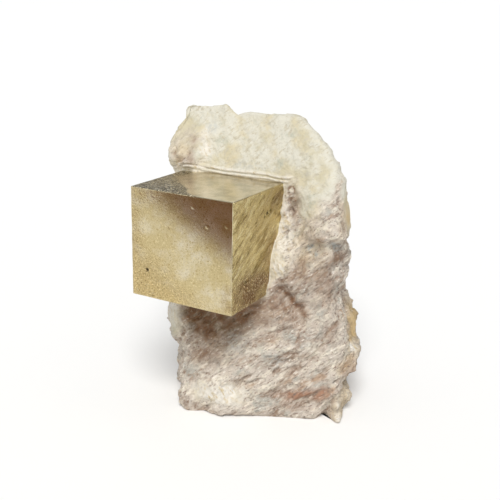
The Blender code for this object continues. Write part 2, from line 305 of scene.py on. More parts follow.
# %% Lumps and hollows
# Where (x, y, z), reach, push (x, y, z).
LUMPS = (
    # knobbly lump over the crystal's back corner
    ((-19.0, 7.0, 55.0), 4.2, (-0.4, -2.6, 0.0)),
    ((-16.5, 4.6, 51.8), 2.4, (0.0, -1.2, 0.6)),
    ((-14.5, 7.0, 58.5), 2.8, (0.0, -1.1, 0.0)),
    ((-20.0, 6.0, 53.0), 1.4, (-0.5, -1.4, 0.0)),
    ((-17.6, 5.0, 54.8), 1.2, (0.0, 1.6, 0.0)),
    ((-19.4, 7.0, 57.4), 1.5, (-0.4, -1.3, 0.0)),
    ((-15.0, 4.0, 54.8), 1.3, (0.0, -1.6, 0.0)),
    ((-16.4, 4.4, 57.6), 1.2, (0.0, 1.3, 0.0)),
    ((-12.0, 4.4, 59.2), 1.4, (0.0, -1.0, 0.0)),
    ((-14.4, 3.4, 52.6), 1.4, (0.0, 1.4, 0.0)),
    # cream collar along the crystal, and the valley beside it
    ((4.0, -8.0, 44.0), 2.2, (0.4, -1.0, 0.0)),
    ((3.2, -11.0, 35.0), 3.0, (0.6, -1.8, 0.0)),
    ((1.2, -12.0, 29.5), 2.2, (0.0, -1.0, 0.0)),
    ((5.6, -12.0, 31.5), 2.4, (0.0, -1.2, 0.0)),
    ((6.0, -8.5, 46.0), 2.4, (0.0, 1.8, 0.0)),
    ((7.6, -9.5, 42.0), 2.8, (0.0, 3.0, 0.0)),
    ((9.4, -11.0, 37.0), 2.6, (0.0, 2.4, 0.0)),
    # bulge right of the valley, with a ledge over a notch
    ((13.5, -12.0, 43.0), 5.0, (0.4, -2.0, 0.0)),
    ((14.8, -12.5, 42.0), 2.0, (0.3, -1.4, -0.3)),
    ((14.8, -12.5, 39.6), 1.6, (0.0, 1.8, 0.5)),
    ((10.0, -12.0, 39.2), 1.4, (0.0, 1.2, 0.0)),
    # flat of the right corner
    ((19.0, -11.0, 45.5), 3.2, (0.0, 3.0, 0.0)),
    ((19.5, -5.0, 45.5), 5.0, (0.9, 0.0, 0.0)),
    # groove below the crystal's right corner
    ((3.2, -12.0, 29.5), 1.7, (0.0, 1.6, 0.0)),
    ((5.0, -12.0, 27.2), 1.6, (0.0, 1.9, 0.0)),
    ((6.8, -12.0, 25.0), 1.6, (0.0, 1.9, 0.0)),
    # hollow below the crystal
    ((-12.0, -8.0, 23.0), 6.5, (0.0, 2.4, 0.0)),
    ((-2.0, -11.0, 23.5), 5.0, (0.0, 1.2, 0.0)),
    # bulge at the foot, left, over a small step
    ((-9.0, -12.0, 6.4), 4.6, (0.0, -1.8, 0.0)),
    ((-12.0, -11.5, 1.0), 2.6, (0.0, 1.2, 0.0)),
    ((-17.0, -8.0, 2.5), 3.6, (-1.4, -2.2, 0.0)),
    # ledge and lumps of the right edge
    ((19.5, -5.0, 13.4), 2.6, (0.8, -2.2, 0.6)),
    ((19.0, -8.5, 11.0), 2.4, (1.4, -2.0, -0.4)),
    ((19.5, -6.5, 7.4), 2.0, (-1.4, 1.2, 0.0)),
    ((18.8, -7.0, 3.8), 2.2, (0.5, -1.2, 0.0)),
    # spur that hangs down at the right foot, and the bay beside it
    ((16.2, -12.0, 0.4), 1.2, (0.0, -2.6, 0.0)),
    ((17.9, -11.5, 0.4), 1.2, (0.0, -2.6, 0.0)),
    ((16.6, -12.0, 3.4), 1.4, (0.0, -2.8, 0.0)),
    ((16.0, -12.0, 6.6), 1.6, (0.0, -1.6, 0.0)),
    ((14.2, -12.5, 0.0), 1.4, (-0.5, 2.6, 0.2)),
    ((14.2, -12.5, 2.6), 1.2, (-0.4, 1.6, 0.0)),
    # broken back and sides
    ((4.0, 17.0, 42.0), 10.0, (0.0, 2.6, 0.0)),
    ((-9.0, 14.0, 22.0), 8.0, (0.0, -2.4, 0.0)),
    ((9.0, 14.0, 12.0), 6.0, (0.0, 2.0, 0.0)),
    ((19.0, 6.0, 36.0), 7.0, (-2.2, 0.0, 0.0)),
    ((-20.0, 10.0, 38.0), 7.0, (1.8, -1.0, 0.0)),
)
print("lumps and hollows:", len(LUMPS))


# %% The plain block
def face_y(face, x, z):
    """y of a plane at x and z."""
    at, across, lean = face
    return at + across * x + lean * z


def soft_max(first, second, softness):
    """The larger of two, with the corner between them rounded."""
    gap = np.sqrt((first - second) ** 2 + softness**2)
    return (first + second + gap) / 2


def front_y(x, z):
    """y of the front: the rough lower face and the smooth wall behind the crystal."""
    return soft_max(face_y(FRONT_FACE, x, z), face_y(WALL_FACE, x, z), EDGE_SOFTNESS)


def back_y(x, z):
    """y of the back: three planes."""
    side = -soft_max(-face_y(BACK_FACE, x, z), -face_y(BACK_LEFT_FACE, x, z), EDGE_SOFTNESS)
    return -soft_max(-side, -face_y(BACK_TOP_FACE, x, z), EDGE_SOFTNESS)


def block_point(turn, rise):
    """Skin of the plain block: a section |x|^8 + |y|^8 = 1, carried up the edges and faces."""
    angle = 2 * math.pi * turn
    share = along(SKIN_PATH, rise)
    z = along(SKIN_PATH, rise, 2)
    power = 2.0 / SECTION_POWER
    across = np.sign(np.cos(angle)) * np.abs(np.cos(angle)) ** power * share
    deep = np.sign(np.sin(angle)) * np.abs(np.sin(angle)) ** power * share
    forward = np.maximum(-deep, 0.0)
    left = along(LEFT_EDGE, z + LEFT_SLANT * deep) + along(LEFT_TAPER, z) * forward
    right = along(RIGHT_EDGE, z + RIGHT_SLANT * deep) - along(RIGHT_TAPER, z) * forward
    centre = (left + right) / 2
    x = centre + across * (right - left) / 2
    front = front_y(x, z)
    back = back_y(x, z)
    middle = (front_y(centre, z) + back_y(centre, z)) / 2
    y = middle + np.where(deep < 0, deep * (middle - front), deep * (back - middle))
    drop = along(CREST_DROP, x) + CREST_FALL * np.maximum(y - front, 0.0)
    z = z - drop * ramp(z, STONE_HEIGHT - CREST_REACH, STONE_HEIGHT)
    return np.stack([x, y, z], axis=-1)


# The outline of the block is measured half way up the skin.
SECTION_RISE = 0.5
SECTION_SAMPLES = 4000
section_turns = np.linspace(0.0, 1.0, SECTION_SAMPLES)
section = block_point(section_turns, np.full(SECTION_SAMPLES, SECTION_RISE))
print("block half way up:", np.ptp(section, axis=0).round(1)[:2], "mm")

# %% [markdown]
# ## The broken surface
#
# The relief comes in layers, from the widest to the finest. Treads are steps a few
# millimetres wide that rise to the right, as the rock flaked under the hammer. Flakes are the
# same at a third of the size. Chips are the small flat faces on them, and splinters are thin
# ridges. Only the rough faces have these. A painted pattern would look the same from the
# front, but here each layer moves the skin along its own normal, so it is real geometry and
# shows in the outline too.

# %% Steps and flakes
RIDGE_RISE = math.radians(35.0)
# Share of each step that is flat.
TREAD_FLAT = 0.5
OCTAVES = 6
# Length and width of the ridges, number of levels, depth, seed.
TREAD_LAYER = (16.0, 5.5, 2.2, 1.3, 5)
FLAKE_LAYER = (6.0, 1.8, 2.2, 0.5, 61)


def along_ridges(points, length, width):
    """Coordinates squeezed along the ridges, so that a round noise comes out drawn long."""
    x, y, z = np.moveaxis(points, -1, 0)
    down_ridge = x * math.cos(RIDGE_RISE) + z * math.sin(RIDGE_RISE)
    over_ridge = z * math.cos(RIDGE_RISE) - x * math.sin(RIDGE_RISE)
    return np.stack([down_ridge / length, y / width, over_ridge / width], axis=-1)


def treads(points, layer):
    """Steps: level t lies on tread floor(t), and climbs to the next in the last of its way."""
    length, width, levels, depth, seed = layer
    level = relief(along_ridges(points, length, width), 1.0, seed, OCTAVES) * levels
    tread = np.floor(level)
    return depth * (tread + ramp(level - tread, TREAD_FLAT, 1.0)) / levels


print("steps up to", TREAD_LAYER[3], "mm deep, flakes up to", FLAKE_LAYER[3], "mm")

# %% Chips and splinters
# Width across the ridges, length over width, steepness, seed.
CHIP_LAYER = (1.4, 1.8, 0.22, 93)
# The borders of the chips are bent by this share of their width.
CHIP_BEND = 0.25
SPLINTER_LENGTH = 2.6
SPLINTER_WIDTH = 0.9
SPLINTER_DEPTH = 0.1
SPLINTER_SEED = 81


def nearest_centre(points, seed):
    """For space divided round one scattered centre in each unit cell: the way from the
    nearest centre to each point, and that centre's own random direction."""
    random = np.random.default_rng(seed)
    scatter = random.uniform(0, 1, (NOISE_CELLS,) * 3 + (3,))
    tilts = random.uniform(-1, 1, (NOISE_CELLS,) * 3 + (3,))
    cell = np.floor(points).astype(int)
    nearest = np.full(points.shape[:-1], np.inf)
    way, tilt = np.zeros(points.shape), np.zeros(points.shape)
    for neighbour in itertools.product((-1, 0, 1), repeat=3):
        index = tuple(np.moveaxis((cell + neighbour) % NOISE_CELLS, -1, 0))
        gap = points - (cell + neighbour + scatter[index])
        distance = (gap**2).sum(axis=-1)
        closer = distance < nearest
        nearest[closer] = distance[closer]
        way[closer] = gap[closer]
        tilt[closer] = tilts[index][closer]
    return way, tilt


def chips(points):
    """Small flat faces: each cell of space has a plane that tilts its own way, whose height
    is the tilt times the way from the cell's centre."""
    width, longer, steepness, seed = CHIP_LAYER
    bent = points + CHIP_BEND * width * noise(points / width, seed)[..., None]
    way, tilt = nearest_centre(along_ridges(bent, width * longer, width), seed)
    return steepness * width * (way * tilt).sum(axis=-1)


def splinters(points):
    """Sharp crests where a drawn-out noise crosses zero: 1 - |noise|, to the power 2."""
    drawn = along_ridges(points, SPLINTER_LENGTH, SPLINTER_WIDTH)
    return (1.0 - np.abs(relief(drawn, 1.0, SPLINTER_SEED, octaves=2))) ** 2


print("chips", CHIP_LAYER[0], "mm wide, splinters", SPLINTER_WIDTH, "mm wide")

# %% [markdown]
# ## Knobs, and the lip
#
# The lump over the crystal's back corner is knobbly, and so is the marl close to the crystal.
# Beside the crystal's right edge there are a few small knobs that each sit in a round groove.
# Where the wall meets the crystal's top face the marl stands up in a thin lip with a groove
# along it. All of these follow from a distance: from the nearest of many scattered centres,
# from a few chosen places, or from the crystal.

# %% Knobs
BUBBLE_WIDTH = 1.7
BUBBLE_HEIGHT = 0.8
BUBBLE_FALL = 2.0
BUBBLE_SEED = 17
# Knobbly patches: middle, reach for each axis, share.
BUBBLY = (
    ((-18.5, 6.0, 54.5), (4.2, 6.0, 4.0), 1.0),
    ((4.2, -6.6, 48.0), (1.8, 3.0, 3.0), 0.7),
    ((11.0, -11.0, 41.0), (4.0, 4.0, 5.0), 0.5),
)
# Small knobs by the crystal's right edge, each in a groove: middle, radius of the groove.
RINGED_KNOBS = (
    ((5.0, -6.8, 49.5), 0.8),
    ((5.2, -7.1, 47.3), 0.8),
    ((4.4, -7.8, 44.9), 0.9),
    ((3.8, -8.5, 41.3), 0.8),
)
RINGED_HEIGHT = 0.6
# How quickly the knob falls away from its middle, and the groove from its ring.
KNOB_FALL = 1.6
GROOVE_FALL = 16.0


def bubbles(points):
    """Round knobs: a cap 1 - 2 d^2 round each cell's centre, d from the centre."""
    way, _ = nearest_centre(points / BUBBLE_WIDTH, BUBBLE_SEED)
    return BUBBLE_HEIGHT * (1.0 - BUBBLE_FALL * (way**2).sum(axis=-1))


def ringed_knobs(points):
    """Small round knobs, each in a groove: 1 at the middle, -1 at one radius from it."""
    total = np.zeros(points.shape[:-1])
    for where, radius in RINGED_KNOBS:
        distance = np.linalg.norm(points - where, axis=-1) / radius
        total += np.exp(-((distance * KNOB_FALL) ** 2))
        total -= np.exp(-((distance - 1.0) ** 2) * GROOVE_FALL)
    return total


print("ringed knobs:", len(RINGED_KNOBS))

# %% The lip over the crystal's top face
# How far it stands out, and how it wanders up and down.
LIP_DEPTH = 0.5
LIP_WANDER = 0.18
LIP_WANDER_WIDTH = 3.0
LIP_SEED = 41
# Heights above the top face: the lip's foot, its groove and its crest.
LIP_FOOT = (0.0, 0.25)
LIP_GROOVE = 0.75
LIP_GROOVE_WIDTH = 0.16
LIP_CREST = (1.1, 1.7)


def beyond_crystal(points):
    """How far outside the cube each point is, the largest of |x|, |y| and |z| less half the
    cube's own, and how far above its top face."""
    beyond = np.abs(in_crystal(points)) - CRYSTAL_SIZE / 2
    return beyond.max(axis=-1), in_crystal(points)[..., 2] - CRYSTAL_SIZE[2] / 2


def lip_share(points):
    """1 on the grooved lip that stands over the crystal's top face, 0 elsewhere."""
    beyond, above = beyond_crystal(points)
    above = above + LIP_WANDER * relief(points, LIP_WANDER_WIDTH, LIP_SEED, octaves=2)
    over_top = ramp(above, *LIP_FOOT) * (1.0 - ramp(above, *LIP_CREST))
    over_top *= 1.0 - np.exp(-(((above - LIP_GROOVE) / LIP_GROOVE_WIDTH) ** 2))
    return over_top * (1.0 - ramp(beyond - above, 0.0, 1.0))


print("lip from", LIP_FOOT[0], "to", LIP_CREST[1], "mm above the crystal")

# %% [markdown]
# ## Smooth and rough places
#
# The wall is a joint face, smooth from the start, and so is the cap of the stone. The other
# faces are broken. The border between them is never straight on a real stone, so it follows
# the angle between the two main faces and is then made ragged by a noise.

# %% How smooth each place is
# The wall starts where its plane is this far behind the front face's, and over these
# heights. It ends this far behind the front, on the stone's sides.
WALL_BLEND = (-1.0, 2.0)
WALL_FOOT = (22.0, 30.0)
SIDE_BLEND = (3.0, 8.0)
# Patches that are smoother or rougher than their face: middle, reach for each axis, share.
SMOOTHED = (
    ((-9.0, -12.5, 5.4), (6.0, 4.0, 3.2), 0.85),
    ((17.2, -6.0, 45.5), (2.0, 9.0, 4.8), 1.6),
    ((16.5, -3.0, 50.0), (3.4, 8.0, 3.6), 1.4),
    ((10.5, -9.5, 42.0), (6.0, 6.0, 4.2), -0.75),
    ((-20.5, 2.0, 19.0), (2.8, 7.0, 4.6), 1.2),
    ((20.5, -3.0, 18.0), (2.0, 4.0, 4.0), 0.8),
    ((-17.5, 5.0, 55.0), (4.2, 5.0, 4.2), -0.9),
    ((4.4, -7.5, 46.0), (2.4, 3.0, 6.5), -0.8),
    ((4.2, -9.8, 39.0), (2.6, 3.0, 5.0), -0.7),
)
# How far the borders of the smooth faces wander, and how sharp they are.
RAGGED = 2.0
RAGGED_WIDTH = 5.0
RAGGED_SEED = 71
SMOOTH_BLEND = (0.1, 0.9)


def smoothness(points, rise):
    """1 on the smooth wall and on the cap, 0 on the rough faces: ramps of how far the wall
    stands behind the front face, plus the patches, with a noise where the share is between."""
    x, y, z = np.moveaxis(points, -1, 0)
    wall = ramp(face_y(WALL_FACE, x, z) - face_y(FRONT_FACE, x, z), *WALL_BLEND)
    wall = wall * ramp(z, *WALL_FOOT) * (1.0 - ramp(y - front_y(x, z), *SIDE_BLEND))
    share = np.maximum(wall, ramp(rise, *CAP_BLEND)) + gathered(points, SMOOTHED)
    wander = RAGGED * relief(points, RAGGED_WIDTH, RAGGED_SEED)
    return ramp(share + wander * share * (1.0 - share), *SMOOTH_BLEND)


print("smoother and rougher patches:", len(SMOOTHED))

# %% The stone's finished skin
# Broad swells, and the share of the coarse relief that a smooth face keeps.
SWELL_WIDTH = 9.0
SWELL_DEPTH = 0.7
SWELL_SEED = 21
SMOOTH_SHARE = 0.35
# The relief leaves the foot flat, and starts over these heights.
FOOT_BLEND = (0.0, 2.0)
# The normal is measured over this share of the way, and is never divided by less than this.
NORMAL_STEP = 0.014
SHORTEST_NORMAL = 1e-9


def skin_normal(turn, rise):
    """Outward direction of the plain block: along the way round crossed with the way up."""
    around = block_point(turn + NORMAL_STEP, rise) - block_point(turn - NORMAL_STEP, rise)
    upward = block_point(turn, rise + NORMAL_STEP) - block_point(turn, rise - NORMAL_STEP)
    normal = np.cross(around, upward)
    normal /= np.maximum(np.linalg.norm(normal, axis=-1, keepdims=True), SHORTEST_NORMAL)
    cap = ramp(rise, *CAP_BLEND)[..., None]
    return normal * (1.0 - cap) + np.array((0.0, 0.0, 1.0)) * cap


def stone_skin(turn, rise):
    """The stone's points, how smooth each is, and how far its fine relief stands out: the
    block plus its normal times all the layers, then the lumps, and a flat foot."""
    points = block_point(turn, rise)
    smooth = smoothness(points, rise)
    coarse = treads(points, TREAD_LAYER)
    coarse += SWELL_DEPTH * relief(points, SWELL_WIDTH, SWELL_SEED, OCTAVES)
    coarse *= 1.0 - (1.0 - SMOOTH_SHARE) * smooth
    fine = treads(points, FLAKE_LAYER) + chips(points) + SPLINTER_DEPTH * splinters(points)
    fine *= 1.0 - smooth
    fine += gathered(points, BUBBLY) * bubbles(points)
    fine += LIP_DEPTH * lip_share(points) + RINGED_HEIGHT * ringed_knobs(points)
    moved = points + skin_normal(turn, rise) * (coarse + fine)[..., None]
    for where, reach, push in LUMPS:
        near = np.exp(-(((points - where) / reach) ** 2).sum(axis=-1))
        moved += near[..., None] * np.array(push)
    z = points[..., 2]
    moved[..., 2] = z + (moved[..., 2] - z) * ramp(z, *FOOT_BLEND)
    return moved, smooth, fine


print("relief of a smooth face:", round(100 * SMOOTH_SHARE), "% of a rough one's")

# %% [markdown]
# ## Spacing of the grid
#
# The section's own angle bunches the points at its corners and leaves gaps in the middle of
# its sides. The columns are spaced by length instead, and most of the rows go to the sides,
# where the relief is.

# %% Columns, rows and faces
COLUMNS = 424
# Where each stretch of rows starts on the way up, and how many rows it has.
ROW_STRETCHES = (
    (0.00, 4),
    (0.05, 6),
    (0.09, 150),
    (0.682, 18),
    (0.709, 32),
    (0.84, 6),
    (0.88, 14),
    (1.00, 0),
)
# The first row is this far up the skin, so that it is a ring and not a point.
POLE_GAP = 1e-3


def even_turns(count):
    """Ways round that divide the block's section into equal lengths."""
    step = np.linalg.norm(np.diff(section, axis=0), axis=-1)
    length = np.concatenate([[0.0], np.cumsum(step)])
    even = np.linspace(0.0, length[-1], count, endpoint=False)
    return np.interp(even, length, section_turns)


def row_rises():
    """Ways up of the rows, evenly spaced in each stretch, without the two poles."""
    rises = []
    for (start, rows), (end, _) in zip(ROW_STRETCHES, ROW_STRETCHES[1:]):
        rises.append(np.linspace(start, end, rows, endpoint=False))
    rises = np.concatenate(rises)
    rises[0] = POLE_GAP
    return rises


def skin_faces(rows, columns):
    """Quads between the rings, and a fan from each end ring to its pole."""
    here = np.arange(columns)
    after = (here + 1) % columns
    base = np.arange(rows - 1)[:, None] * columns
    corners = [base + here, base + after, base + columns + after, base + columns + here]
    quads = np.stack(corners, axis=-1).reshape(-1, 4)
    low_pole, high_pole = rows * columns, rows * columns + 1
    top = (rows - 1) * columns
    low_fan = np.stack([after, here, np.full(columns, low_pole)], axis=-1)
    high_fan = np.stack([top + here, top + after, np.full(columns, high_pole)], axis=-1)
    return quads.tolist() + low_fan.tolist() + high_fan.tolist()


rises = row_rises()
print("grid:", COLUMNS, "columns and", len(rises), "rows")

# %% Make the stone
turn_grid, rise_grid = np.meshgrid(even_turns(COLUMNS), rises)
rings, smooth_grid, fine_grid = stone_skin(turn_grid, rise_grid)
low_pole = rings[0].mean(axis=0)
high_pole = rings[-1].mean(axis=0)
stone_points = np.concatenate([rings.reshape(-1, 3), [low_pole, high_pole]])
# The pole of the foot counts as rough, and that of the cap as smooth.
stone_smooth = np.append(smooth_grid.ravel(), [0.0, 1.0])
stone_fine = np.append(fine_grid.ravel(), [0.0, 0.0])
stone = make_piece("marl_stone", stone_points, skin_faces(len(rises), COLUMNS))
print("stone:", len(stone_points), "points, fine relief", np.ptp(stone_fine).round(2), "mm")

# %% [markdown]
# ## The crystal
#
# A pyrite cube is flat to a few hundredths of a millimetre, but never quite: growth leaves
# low hillocks and pits, and some faces stay grainy where the marl pressed on them. Its edges
# are crisp, with a little wear.
#
# A bevelled cube would be too perfect. The form is a rounded box as a surface of two
# parameters on each of its six faces, whose edge radius wanders, and whose points then move
# in or out by the face's own relief.

# %% Relief of the crystal
# Radius of the edges, how far it wanders, and over what width.
EDGE_RADIUS = 0.14
EDGE_WANDER = 0.03
EDGE_WANDER_WIDTH = 3.0
EDGE_SEED = 7
# Every face: height and width of its faint swells.
FACE_SWELL_HEIGHT = 0.004
FACE_SWELL_WIDTH = 5.0
FACE_SWELL_SEED = 31
# Grain of the grainy patches: height, width, and a squeeze that draws it out along z.
FACE_GRAIN_HEIGHT = 0.02
FACE_GRAIN_WIDTH = 1.1
FACE_GRAIN_SQUEEZE = (1.0, 1.0, 0.7)
FACE_GRAIN_SEED = 37
# Grainy patches: middle (x, y, z) in the crystal's own axes, reach, share.
GRAINY = (
    ((-11.0, -12.0, -9.0), (9.0, 3.0, 6.5), 1.0),
    ((-3.0, -12.0, -11.5), (9.0, 3.0, 3.0), 0.8),
    ((-12.0, -12.0, 1.0), (2.4, 3.0, 6.0), 0.5),
    ((-10.0, -4.0, 11.5), (4.5, 9.0, 3.0), 0.4),
)
# A pit or a hillock has a faint rim the other way: share of its height, how many radii out,
# and how narrow.
RIM_SHARE = 0.3
RIM_PLACE = 1.6
RIM_FALL = 6.0
# Pits and hillocks: middle in the crystal's own axes, radius, height.
DIMPLES = (
    ((-8.3, -12.0, -5.6), 0.36, -0.4),
    ((-2.5, -12.0, 4.3), 0.3, -0.03),
    ((3.0, -12.0, 9.3), 0.35, 0.04),
    ((6.3, -12.0, 5.8), 0.3, 0.035),
    ((10.7, -12.0, 6.6), 0.35, 0.04),
    ((12.0, 1.9, 6.4), 0.5, -0.25),
    ((12.0, 0.8, 5.9), 0.4, -0.2),
    ((12.0, 3.1, 6.8), 0.35, -0.2),
    ((12.0, -6.4, -6.0), 0.6, -0.15),
)
print("pits and hillocks:", len(DIMPLES))

# %% The rounded box
FACE_STEPS = 96
ROUNDING_STEPS = 5
# The closer rows start this many edge radii from the edge.
ROUNDING_REACH = 1.5


def face_steps(half):
    """Positions across a face, -half to half: even in the middle, closer on the rounding."""
    flat = half - ROUNDING_REACH * EDGE_RADIUS
    middle = np.linspace(-flat, flat, FACE_STEPS)
    rounding = np.linspace(flat, half, ROUNDING_STEPS + 1)[1:]
    return np.concatenate([-rounding[::-1], middle, rounding])


def box_faces():
    """Six grids over the cube's faces: points, and quads that face out."""
    grids, quads, first = [], [], 0
    half = CRYSTAL_SIZE / 2
    for axis, side in itertools.product(range(3), (-1, 1)):
        others = [(axis + 1) % 3, (axis + 2) % 3]
        across, up = np.meshgrid(*(face_steps(half[other]) for other in others), indexing="ij")
        grid = np.empty((*across.shape, 3))
        grid[..., axis] = side * half[axis]
        grid[..., others[0]] = across
        grid[..., others[1]] = up
        index = first + np.arange(across.size).reshape(across.shape)
        corners = [index[:-1, :-1], index[1:, :-1], index[1:, 1:], index[:-1, 1:]]
        quads.append(np.stack(corners[::side], axis=-1).reshape(-1, 4))
        grids.append(grid.reshape(-1, 3))
        first += across.size
    return np.concatenate(grids), np.concatenate(quads)


def rounded(points, radius):
    """Points of the box drawn onto one with round edges: the nearest point of a box that is
    smaller by the radius, and from there the radius outwards."""
    inner = np.clip(points, radius - CRYSTAL_SIZE / 2, CRYSTAL_SIZE / 2 - radius)
    away = points - inner
    length = np.linalg.norm(away, axis=-1, keepdims=True)
    return inner + away / length * radius, away / length


print("rows on each face:", len(face_steps(CRYSTAL_SIZE[0] / 2)))

# %% Make the crystal
# Places that agree to this many digits, in mm, are one point.
WELD_DIGITS = 5


def crystal_skin(points):
    """The crystal's points in its own axes, how grainy each is, and how far it stands out:
    the rounded box plus its normal times the swells, the grain and the pits and hillocks."""
    wander = EDGE_WANDER * relief(points, EDGE_WANDER_WIDTH, EDGE_SEED, octaves=2)[..., None]
    placed, outward = rounded(points, EDGE_RADIUS + wander)
    grainy = np.clip(gathered(points, GRAINY), 0.0, 1.0)
    height = FACE_SWELL_HEIGHT * relief(points, FACE_SWELL_WIDTH, FACE_SWELL_SEED, octaves=2)
    grain = relief(points * FACE_GRAIN_SQUEEZE, FACE_GRAIN_WIDTH, FACE_GRAIN_SEED, octaves=2)
    height += FACE_GRAIN_HEIGHT * grainy * grain
    for where, radius, rise in DIMPLES:
        distance = np.linalg.norm(points - where, axis=-1) / radius
        rim = np.exp(-((distance - RIM_PLACE) ** 2) * RIM_FALL)
        height += rise * (np.exp(-(distance**2)) - RIM_SHARE * rim)
    return placed + outward * height[..., None], grainy, height


def welded(points, faces):
    """Points shared by neighbouring grids made one: equal rounded places get one number."""
    places = points.round(WELD_DIGITS)
    _, first, number = np.unique(places, axis=0, return_index=True, return_inverse=True)
    return first, number.reshape(-1)[faces]


box_points, box_quads = box_faces()
kept, crystal_quads = welded(box_points, box_quads)
crystal_points, crystal_grainy, crystal_height = crystal_skin(box_points[kept])
crystal = make_piece("pyrite_cube", in_frame(crystal_points), crystal_quads.tolist())
print("crystal:", len(crystal_points), "points")

# %% [markdown]
# ## Marks for the materials
#
# A material can make a pattern, but it can't know where water ran down this stone or which
# side of it broke. So each place gets a few numbers, from 0 to 1: how rusty, tan, brown and
# grey it is, how rough, hollow and pale, and how close to the crystal. The brown also holds
# painted shadow under the crystal and painted shade in grooves, the hollows get painted shade,
# and the pale holds painted light on lit facets and highlights. They are kept at the corners
# of the faces, because the cut that follows carries them over from there.

# %% Stains of the stone, with painted shadow and light among them
# A stain, or a patch of painted shadow or light, is the sum of its spots times this, less
# this, and it ends at 0 and 1.
STAIN_GAIN = 1.3
STAIN_EDGE = 0.15
# Middle in mm, reach for each axis in mm, share.
RUST = (
    ((8.0, -13.0, 5.6), (4.6, 4.0, 1.2), 1.0),
    ((12.0, -13.0, 6.4), (3.0, 4.0, 1.6), 0.8),
    ((6.5, -12.0, 2.6), (5.0, 4.0, 1.0), 0.5),
    ((9.0, -12.0, 15.0), (2.4, 4.0, 1.4), 0.3),
    ((18.5, -10.0, 11.6), (2.2, 4.0, 2.4), 0.8),
    ((-9.0, -12.0, 18.4), (5.0, 4.0, 2.0), 0.5),
)
TAN = (
    ((20.6, -2.0, 18.6), (3.0, 12.0, 4.4), 1.0),
    ((18.6, -7.0, 4.0), (2.2, 3.0, 2.6), 0.9),
    ((17.0, -13.0, 2.0), (2.0, 4.0, 4.0), 0.8),
    ((17.0, -5.0, 44.8), (2.2, 14.0, 4.6), 0.6),
    ((17.5, -9.0, 12.0), (3.0, 4.0, 3.0), 0.6),
    ((-18.5, 5.0, 54.0), (2.6, 5.0, 4.0), 0.35),
    ((9.0, -11.0, 38.0), (5.0, 4.0, 7.0), 0.35),
)
# Brown under the crystal and down its lower left is painted shadow over a brown stain, in the
# valley and the groove painted shade over brown, and elsewhere brown stain.
BROWN_AND_SHADOW = (
    ((-10.0, -8.0, 23.0), (12.0, 8.0, 4.4), 1.0),
    ((-15.0, -5.0, 21.5), (3.2, 6.0, 4.0), 0.8),
    ((0.0, -11.0, 25.0), (6.0, 6.0, 3.6), 0.25),
    ((-13.0, -8.0, 18.0), (4.0, 6.0, 2.4), 0.6),
    ((-14.0, -8.0, 12.5), (5.0, 5.0, 3.0), 0.3),
    ((3.0, -12.0, 26.0), (2.6, 4.0, 2.0), 0.35),
    ((-10.0, -10.0, 14.0), (7.0, 6.0, 3.0), 0.35),
    ((3.6, -12.0, 29.4), (0.8, 4.0, 0.9), 0.8),
    ((4.8, -12.0, 28.1), (0.8, 4.0, 0.9), 0.8),
    ((6.0, -12.0, 26.8), (0.8, 4.0, 0.9), 0.8),
    ((7.2, -12.0, 25.5), (0.8, 4.0, 0.9), 0.8),
    ((8.4, -12.0, 24.2), (0.8, 4.0, 0.9), 0.7),
    ((6.0, -9.0, 46.0), (1.1, 4.0, 4.0), 0.8),
    ((10.0, -11.0, 41.0), (2.6, 4.0, 1.6), 0.5),
    ((15.5, -11.0, 36.4), (2.8, 4.0, 1.2), 0.5),
    ((9.0, -11.0, 34.0), (5.0, 4.0, 2.6), 0.4),
    ((12.5, -12.0, 29.5), (5.5, 4.0, 4.4), 0.45),
    ((14.0, -11.0, 19.0), (4.0, 4.0, 5.0), 0.35),
    ((18.6, -9.0, 11.6), (2.4, 4.0, 2.0), 0.6),
    ((-16.4, 4.0, 53.4), (1.0, 3.0, 2.2), 0.5),
    ((-19.0, 6.0, 53.6), (1.6, 4.0, 1.0), 0.35),
    ((-16.4, 5.0, 57.6), (1.5, 4.0, 1.0), 0.6),
)
GREY = (
    ((13.8, -11.5, 39.8), (1.2, 3.0, 0.9), 1.0),
    ((15.2, -11.5, 38.4), (1.2, 3.0, 0.9), 1.0),
    ((9.2, -11.4, 38.6), (0.9, 3.0, 1.1), 1.0),
    ((10.2, -11.4, 36.9), (0.9, 3.0, 1.1), 0.9),
    ((-6.0, -12.0, 17.0), (3.0, 4.0, 2.4), 0.7),
    ((3.5, -12.0, 14.0), (3.0, 4.0, 2.6), 0.5),
    ((9.0, -12.0, 19.0), (2.4, 4.0, 2.0), 0.6),
    ((-18.0, -9.0, 12.0), (2.4, 4.0, 4.0), 0.6),
    ((-12.0, 6.0, 60.4), (1.6, 5.0, 1.4), 0.6),
    ((-1.0, 0.0, 53.4), (8.0, 6.0, 1.2), 0.5),
    ((9.0, -5.0, 53.0), (2.0, 4.0, 1.0), 0.5),
)
# Pale spots: cream on the foot's bulge and along the collar, and painted light: the left facet lit,
# the bulb and the spur lightened out of shade, and painted highlights on the right ledge's top, on
# a lump below the collar and on the edge of the knobbly lump.
PALE_AND_LIT = (
    ((-9.0, -12.5, 5.6), (6.0, 4.0, 2.8), 1.0),
    ((-20.5, 2.0, 19.5), (2.2, 6.0, 4.0), 1.0),
    ((19.0, -8.0, 15.4), (2.2, 3.0, 0.9), 1.3),
    ((19.0, -7.3, 4.3), (1.6, 3.0, 2.0), 0.6),
    ((16.8, -14.0, 2.0), (1.4, 4.0, 4.0), 0.7),
    ((4.0, -8.0, 44.0), (2.0, 4.0, 6.0), 0.6),
    ((4.2, -10.0, 38.0), (2.6, 4.0, 3.6), 0.55),
    ((2.6, -11.0, 34.0), (1.6, 4.0, 2.0), 0.8),
    ((-13.4, 3.4, 57.0), (1.4, 4.0, 3.4), 0.9),
)


